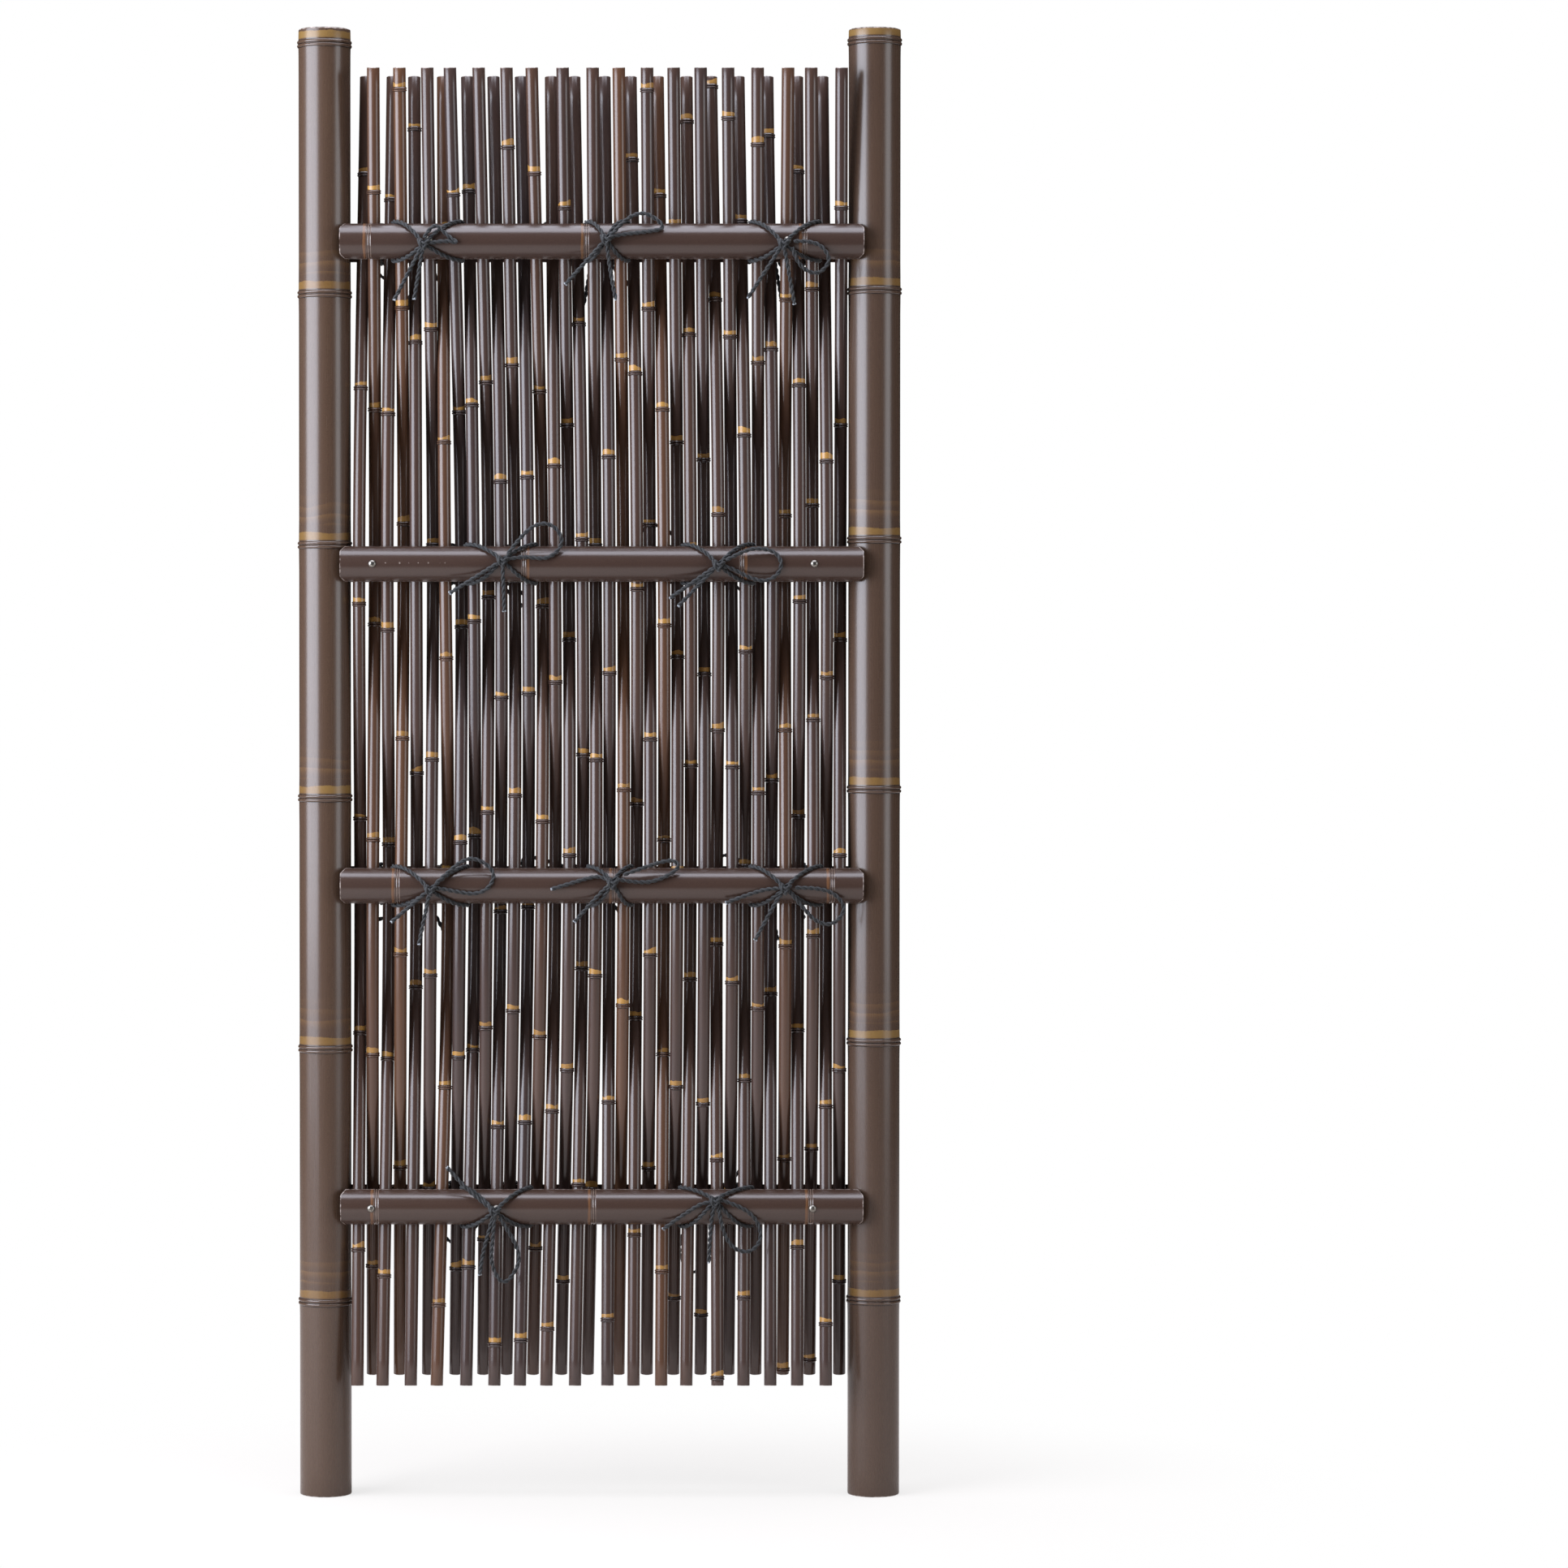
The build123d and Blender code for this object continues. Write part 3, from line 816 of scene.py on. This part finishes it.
def make_rail(level, section):
    """A front rail, drawn flat along x and then put in the place of its solid."""
    height, plane, start, stop = rails[level]
    length = stop - start
    first, way = rail_rings[level]
    rings = [first * MM + RAIL_RING_PITCH * k for k in range(3)]
    rings = [r for r in rings if r < length - 8 * MM]
    places = stations(0.0, length, rings, spacing=0.012, reach=0.0045, step=0.0006)
    places += [k * MM for k in range(1, 7)] + [length - k * MM for k in range(1, 7)]
    places = sorted({round(float(p), 6) for p in places}, reverse=way < 0)
    line = chain(f"front_rail_{level}_look", [(p, 0, 0) for p in places])
    ring_points = mesh_object("ring_points", [(r, 0, 0) for r in rings])
    rail = grow(line, drawn, Section=section, Ring_points=ring_points, Ring_offset=0.0014,
                Ring_width=0.0010, Ring_height=0.0006, Ease=0.0, Tint=0.3 + 0.08 * level,
                Material=looks["rails"])
    drop(ring_points)
    holds = [(crown_x(level, canes_there) - start, depth, width)
             for spots, depth, width in ((screw_canes, 0.0005, 0.010), (knot_canes, 0.0004, 0.022))
             for at, canes_there in spots if at == level]
    edges = []
    for vertex in rail.data.vertices:
        x, y, z = vertex.co
        y, z = -abs(y), z * way
        clip = max(0.0, abs(z) - (RAIL_RADIUS - CORNER_CUT))
        x = min(max(x, clip), length - clip)
        pull = sum(depth * math.exp(-((x - at) / width) ** 2) for at, depth, width in holds)
        vertex.co = (start + x, -plane + min(0.0, y + pull * max(0.0, -y / RAIL_RADIUS)), height + z)
        # The edge value stays small along the rail's upper and lower borders, so a pale line is painted
        # along them as well.
        arc = RAIL_RADIUS * (math.pi / 2 - math.asin(min(1.0, abs(z) / RAIL_RADIUS)))
        edges.append(min(x - clip, length - clip - x, arc * 0.2 + 0.0005))
    rail.data.attributes["edge"].data.foreach_set("value", np.array(edges, np.float32))
    outward(rail)
    rail.data.shade_smooth()
    rail.data.set_sharp_from_angle(angle=math.radians(40))
    return rail


def turned_round(front, name):
    """The back's piece: the front's one turned half round the upright axis."""
    twin = linked(name, front.data.copy())
    twin.data.name = name
    twin.data.transform(Matrix.Rotation(math.pi, 4, "Z"))
    return twin


section = shell_section("rail_section")
for level in LEVELS:
    rail = make_rail(level, section)
    enter(rail, f"front_rail_{level}")
    enter(turned_round(rail, f"back_rail_{level}_look"), f"back_rail_{level}")
drop(section)
print("a rail has", len(rail.data.polygons), "faces")

# %% [markdown]
# ## The ties
# Two lengths of cord cross over the rail, go in between the canes at its edges and round the
# bar. They are tied where they cross, and the cord's ends are left as two tails and a loop.
# The cord is twisted of two strands. A free end's line is a smooth spline through a few points
# read off the photograph, in millimetres from the tie's place on its rail: to the right and up.

# %% The twisted tree
def twisted_tree():
    """Winds two strands round a line. Their radius and offset are shares of the diameter."""
    strand_radius, strand_offset = 0.32, 0.27
    tree, given, end = new_tree("twisted", [("Geometry", "Geometry"), ("Diameter", "Float"),
                                            ("Pitch", "Float"), ("Step", "Float"),
                                            ("Uncut", "Float"), ("Material", "Material")])
    line = put(tree, "GeometryNodeMeshToCurve", Mesh=given["Geometry"])
    line = put(tree, "GeometryNodeResampleCurve", mode="LENGTH", Curve=line, Length=given["Step"])
    run = put(tree, "GeometryNodeSplineParameter", output="Length")
    normal = put(tree, "GeometryNodeInputNormal")
    tangent = put(tree, "GeometryNodeInputTangent")
    side = vector_sum(tree, "CROSS_PRODUCT", tangent, normal)
    whole = put(tree, "GeometryNodeSplineLength")
    place = put(tree, "GeometryNodeInputPosition")
    line = keep(tree, line, "tip", whole - run + given["Uncut"])
    line = keep(tree, line, "middle", place, "FLOAT_VECTOR")
    circle = put(tree, "GeometryNodeCurvePrimitiveCircle", Resolution=8,
                 Radius=given["Diameter"] * strand_radius)
    joined = tree.nodes.new("GeometryNodeJoinGeometry")
    for phase in (0.0, math.pi):
        turn = run / given["Pitch"] * math.tau + phase
        out = vector_sum(tree, "ADD", vector_sum(tree, "SCALE", normal, scale=turn.cos()),
                         vector_sum(tree, "SCALE", side, scale=turn.sin()))
        out = vector_sum(tree, "SCALE", out, scale=given["Diameter"] * strand_offset)
        strand = put(tree, "GeometryNodeSetPosition", Geometry=line, Offset=out)
        tube = put(tree, "GeometryNodeCurveToMesh", Curve=strand, Profile_Curve=circle, Fill_Caps=True)
        tree.links.new(tube.out, joined.inputs[0])
    middle = kept(tree, "middle", "FLOAT_VECTOR")
    # How far the surface stands out from the cord's middle; the cord material paints lighter strand
    # tops and shade between the strands from it.
    off_middle = vector_sum(tree, "DISTANCE", place, middle, output="Value")
    shape = keep(tree, Sock(tree, joined.outputs[0]), "proud", off_middle / given["Diameter"] * 2.0)
    return finish_tree(tree, given, end, shape)


twisted = twisted_tree()


def smooth_line(name, points, closed=False):
    """A mesh line read from a spline that has these points as its control points."""
    curve = bpy.data.curves.new(name, "CURVE")
    curve.dimensions = "3D"
    spline = curve.splines.new("NURBS")
    spline.points.add(len(points) - 1)
    for point, place in zip(spline.points, points):
        point.co = (*place, 1.0)
    spline.order_u = 3
    spline.use_cyclic_u = closed
    spline.use_endpoint_u = not closed
    spline.resolution_u = 10
    holder = linked(name, curve)
    mesh = plain_mesh(holder)
    bpy.data.objects.remove(holder)
    bpy.data.curves.remove(curve)
    return linked(name, mesh), [tuple(v.co) for v in mesh.vertices]


def twisted_cord(name, points, closed=False, uncut=1.0):
    """A twisted cord on that line, and the points it follows. uncut 0 bares the core at its end."""
    line, followed = smooth_line(name, points, closed)
    cord = grow(line, twisted, Diameter=CORD, Pitch=0.0150, Step=0.0014, Uncut=uncut,
                Material=looks["ties"])
    cord.data.shade_smooth()
    return cord, followed


print("twisted tree:", len(twisted.nodes), "nodes")

# %% Where each tie's cord goes
# corners are where the four legs leave the rail. tails and loop start at the knot.
ties = {
    1: dict(knot=(-6, -4), corners=((-38, 24), (35, 23), (-38, -22), (37, -22)),
        tail_a=((-40, -69),), tail_b=((-17, -68),),
        loop=((-5, 2), (5, 22), (21, 5), (36, -5), (21, 0), (1, -4))),
    2: dict(knot=(-1, 1), corners=((-21, 24), (18, 24), (-22, -21), (22, -21)),
        tail_a=((-48, -51),), tail_b=((3, -32), (10, -69)),
        loop=((3, 3), (18, 22), (40, 33), (58, 24), (67, 13), (43, 9), (13, 6), (5, 3))),
    3: dict(knot=(-5, -4), corners=((-40, 24), (36, 24), (-40, -19), (35, -19)),
        tail_a=((-46, -67),), tail_b=((8, -74),),
        loop=((7, -2), (25, -1), (41, -8), (49, -22), (42, -34), (32, -39), (19, -34), (9, -22),
             (5, -9))),
    4: dict(knot=(2, 4), corners=((-36, 23), (40, 23), (-35, -22), (39, -23)),
        tail_a=((-59, -34),), tail_b=((4, -55),),
        loop=((8, 11), (28, 38), (48, 48), (64, 42), (72, 26), (64, 12), (50, 5), (24, 9), (8, 5))),
    5: dict(knot=(-1, -1), corners=((-36, 21), (34, 20), (-33, -24), (38, -25)),
        tail_a=((-57, -40),), tail_b=((-47, -49),),
        loop=((8, 4), (30, 16), (48, 18), (65, 14), (73, 1), (68, -13), (53, -21), (34, -16),
             (15, -5), (5, -3))),
    6: dict(knot=(0, -3), corners=((-38, 23), (42, 21), (-38, -22), (41, -22)),
        tail_a=((-45, -41),), tail_b=((-13, -67),),
        loop=((7, 4), (25, 21), (39, 31), (51, 33), (67, 25), (75, 13), (67, -3), (51, -9),
             (32, -6), (13, -2), (6, -2))),
    7: dict(knot=(3, 5), corners=((-23, 23), (23, 22), (-20, -22), (23, -22)),
        tail_a=((-13, 13), (-39, 6), (-68, -3)), tail_b=((-11, -7), (-41, -41)),
        loop=((16, 14), (44, 24), (72, 32), (82, 23), (63, 10), (37, 3), (8, 9))),
    8: dict(knot=(-2, -1), corners=((-39, 23), (37, 23), (-37, -22), (35, -22)),
        tail_a=((-32, -4), (-70, -19)), tail_b=((-15, -22), (-36, -62)),
        loop=((10, -1), (38, -1), (59, -10), (69, -27), (54, -45), (34, -41), (18, -23), (2, -4))),
    9: dict(knot=(-2, -2), corners=((-37, 23), (38, 23), (-38, -23), (36, -23)),
        tail_a=((-16, 8), (-37, 25), (-57, 48)), tail_b=((-17, -57), (-19, -77)),
        loop=((-2, -10), (-4, -36), (-7, -64), (8, -91), (26, -67), (26, -49), (16, -28), (4, -10))),
    10: dict(knot=(-3, 10), corners=((-40, 25), (35, 25), (-40, -22), (36, -23)),
        tail_a=((-25, 4), (-63, -24)), tail_b=((-8, -18), (-10, -63)),
        loop=((0, 12), (3, -18), (16, -46), (38, -52), (52, -35), (45, -11), (25, 4), (3, 11))),
}
for tie, (level, numbers) in zip(ties.values(), knot_canes):
    tie.update(rail=level, canes=numbers)
WRAP = RAIL_RADIUS + 2.5 * MM
CORD_ROOM = 9.6 * MM
KNOT_OUT = 27.2 * MM


def tie_place(tie):
    """A tie's place along its rail, and the rail's flat side and height."""
    height, plane = rails[tie["rail"]][:2]
    return crown_x(tie["rail"], tie["canes"]), plane, height


def clear_of_canes(level, x):
    """The nearest x at which a cord fits between two front canes."""
    height = rails[level][0]
    fronts = [lines[i][0](height) for i in range(CANES) if lines[i][1](height) < 0]
    nearest = min(fronts, key=lambda cane: abs(cane - x))
    if abs(x - nearest) >= CORD_ROOM:
        return x
    return nearest + math.copysign(CORD_ROOM, x - nearest)


def leg(tie, corner):
    """From the knot over the half-round, in between the canes and to the bar."""
    middle, plane, height = tie_place(tie)
    knot = tie["knot"]
    first = math.asin(max(-0.9, min(0.9, knot[1] * MM / WRAP)))
    last = math.copysign(math.radians(82), corner[1])
    points = []
    for k in range(6):
        share = k / 5
        angle = first + (last - first) * share
        x = middle + (knot[0] + (corner[0] - knot[0]) * share) * MM
        out = WRAP + 1.6 * MM * (1 - share)
        points.append((x, -plane - out * math.cos(angle), height + out * math.sin(angle)))
    x = clear_of_canes(tie["rail"], middle + corner[0] * MM)
    way = math.copysign(1, corner[1])
    for depth, rise in ((-5, 22.5), (-11, 20.0), (-15.5, 13.0), (-16.2, 5.0)):
        points.append((x, -plane - depth * MM, height + way * rise * MM))
    return points


def free_run(tie, points, lifts):
    """Points off the knot in space: not nearer to the rail than its surface."""
    middle, plane, height = tie_place(tie)
    placed = []
    for (right, up), lift in zip(points, lifts):
        above_rail = max(0.0, (RAIL_RADIUS + 3 * MM) ** 2 - (up * MM) ** 2) ** 0.5
        placed.append((middle + right * MM, -plane - max(lift * MM, above_rail), height + up * MM))
    return placed


def knot_rings(tie):
    """Three small turns of cord round the crossing."""
    middle, plane, height = tie_place(tie)
    right, up = tie["knot"]
    centre = Vector((middle + right * MM, -plane - KNOT_OUT, height + up * MM))
    rings = []
    for lean, spread, shift in ((0.5, 6.3, -3.0), (-0.55, 5.9, 3.1), (1.5, 5.3, -0.2)):
        along = Vector((math.cos(lean), 0, math.sin(lean)))
        across = Vector((-math.sin(lean), 0, math.cos(lean)))
        out = Vector((0, -1, 0))
        ring = []
        for k in range(8):
            a = k / 8 * math.tau
            ring.append(centre + along * shift * MM + across * spread * MM * math.cos(a)
                        + out * 4.6 * MM * math.sin(a) + along * 0.7 * MM * math.cos(2 * a))
        rings.append(ring)
    return rings


def join(name, parts):
    """One object of several."""
    work = bmesh.new()
    for part in parts:
        work.from_mesh(part.data)
    for face in work.faces:
        face.material_index = 0
    mesh = bpy.data.meshes.new(name)
    work.to_mesh(mesh)
    work.free()
    mesh.materials.append(looks["ties"])
    drop(*parts)
    mesh.shade_smooth()
    return linked(name, mesh)


def shorter_tail(tie):
    """The name of the tail that goes less far. At most 40 cords can be declared."""
    reach = {name: math.dist(tie["knot"], tie[name][-1]) for name in ("tail_a", "tail_b")}
    return min(reach, key=reach.get)


def free_points(tie, end_name):
    """A free end's points and how far each stands out, in mm. A tail starts in the knot."""
    points = list(tie[end_name])
    if end_name == "loop":
        last = len(points) - 1
        return points, [27 - 8 * math.sin(math.pi * k / last) for k in range(last + 1)]
    (x, y), (next_x, next_y) = tie["knot"], points[0]
    points = [(x, y), ((x * 2 + next_x) / 3, (y * 2 + next_y) / 3)] + points
    return points, (26, 24, 20, 19, 19)[:len(points)]


cord_lengths = {}
for n, tie in ties.items():
    node = f"ties_{tie['rail']}"
    parts = [twisted_cord("leg", leg(tie, corner))[0] for corner in tie["corners"]]
    parts += [twisted_cord("turn", ring, closed=True)[0] for ring in knot_rings(tie)]
    lashing = join(f"tie_{n:02d}_lashing", parts)
    enter(lashing, node)
    enter(turned_round(lashing, f"tie_{n:02d}_lashing_back"), node)
    for end_name in ("tail_a", "tail_b", "loop"):
        placed = free_run(tie, *free_points(tie, end_name))
        piece, followed = twisted_cord(f"tie_{n:02d}_{end_name}", placed,
                                       uncut=1.0 if end_name == "loop" else 0.0)
        followed = np.array(followed)
        length = float(np.linalg.norm(np.diff(followed, axis=0), axis=1).sum())
        cord_lengths[piece.name] = round(length * 1000)
        for way in (1, -1):
            if way < 0:
                piece = turned_round(piece, piece.name + "_back")
            enter(piece, node)
            if end_name == shorter_tail(tie):
                continue
print("free cords, mm:", cord_lengths)

# %% [markdown]
# ## The screws
# Small steel pan heads with a cross recess hold the rails to the bars: at both ends of the second
# and the fourth rail, and elsewhere behind a knot.

# %% Screws
def screw_tree():
    """A head minus its cross, set on points."""
    tree, given, end = new_tree("screws", [("Geometry", "Geometry"), ("Head", "Object"),
                                           ("Cross", "Object"), ("Material", "Material")])
    head = put(tree, "GeometryNodeObjectInfo", output="Geometry", Object=given["Head"])
    cross = put(tree, "GeometryNodeObjectInfo", output="Geometry", Object=given["Cross"])
    cut = tree.nodes.new("GeometryNodeMeshBoolean")
    cut.operation = "DIFFERENCE"
    tree.links.new(head.out, cut.inputs[0])
    tree.links.new(cross.out, cut.inputs[1])
    points = put(tree, "GeometryNodeMeshToPoints", Mesh=given["Geometry"])
    spin = put(tree, "ShaderNodeCombineXYZ", X=math.pi / 2, Y=kept(tree, "turn"), Z=0.0)
    placed = put(tree, "GeometryNodeInstanceOnPoints", Points=points,
                 Instance=Sock(tree, cut.outputs[0]), Rotation=spin)
    return finish_tree(tree, given, end, placed)


dome = [(0.0001, 0.0028), (0.0012, 0.00275), (0.0023, 0.0025), (0.0032, 0.0020), (0.0039, 0.0013),
        (0.0043, 0.0006), (0.0044, 0.0), (0.0040, -0.0006), (0.0001, -0.0006)]
outline = chain("head", [(r, 0, z) for r, z in dome + dome[:1]])
head = grow(outline, turned, Sides=28, Rows=len(dome) + 1, Material=looks["screws"])
arm, half, floor_z, over = 0.0021, 0.00042, 0.0012, 0.004
corners = [(arm, half), (half, half), (half, arm), (-half, arm), (-half, half), (-arm, half),
           (-arm, -half), (-half, -half), (-half, -arm), (half, -arm), (half, -half), (arm, -half)]
cross = mesh_object("cross", [(x, y, z) for z in (floor_z, over) for x, y in corners],
                    faces=[tuple(range(11, -1, -1)), tuple(range(12, 24))]
                    + [(i, (i + 1) % 12, (i + 1) % 12 + 12, i + 12) for i in range(12)])
outward(head)
outward(cross)
spots = []
for level, numbers in screw_canes:
    height, plane = rails[level][:2]
    spots.append((crown_x(level, numbers), -plane - RAIL_RADIUS + 0.7 * MM, height))
screws = mesh_object("screws_front", spots)
set_floats(screws, "turn", [rng.uniform(0, math.tau) for _ in spots])
screws = grow(screws, screw_tree(), Head=head, Cross=cross, Material=looks["screws"])
drop(head, cross)
screws.data.set_sharp_from_angle(angle=math.radians(35))
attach(screws, "root")
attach(turned_round(screws, "screws_back"), "root")
print("screws:", len(spots), "a side,", len(screws.data.polygons), "faces")

# %% Solids that are kept
for name, slot in [("post_caps", "caps")] + [(f"inner_bar_{level}", "inner_bars") for level in LEVELS]:
    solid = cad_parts[name]
    solid.data.materials.clear()
    solid.data.materials.append(looks[slot])
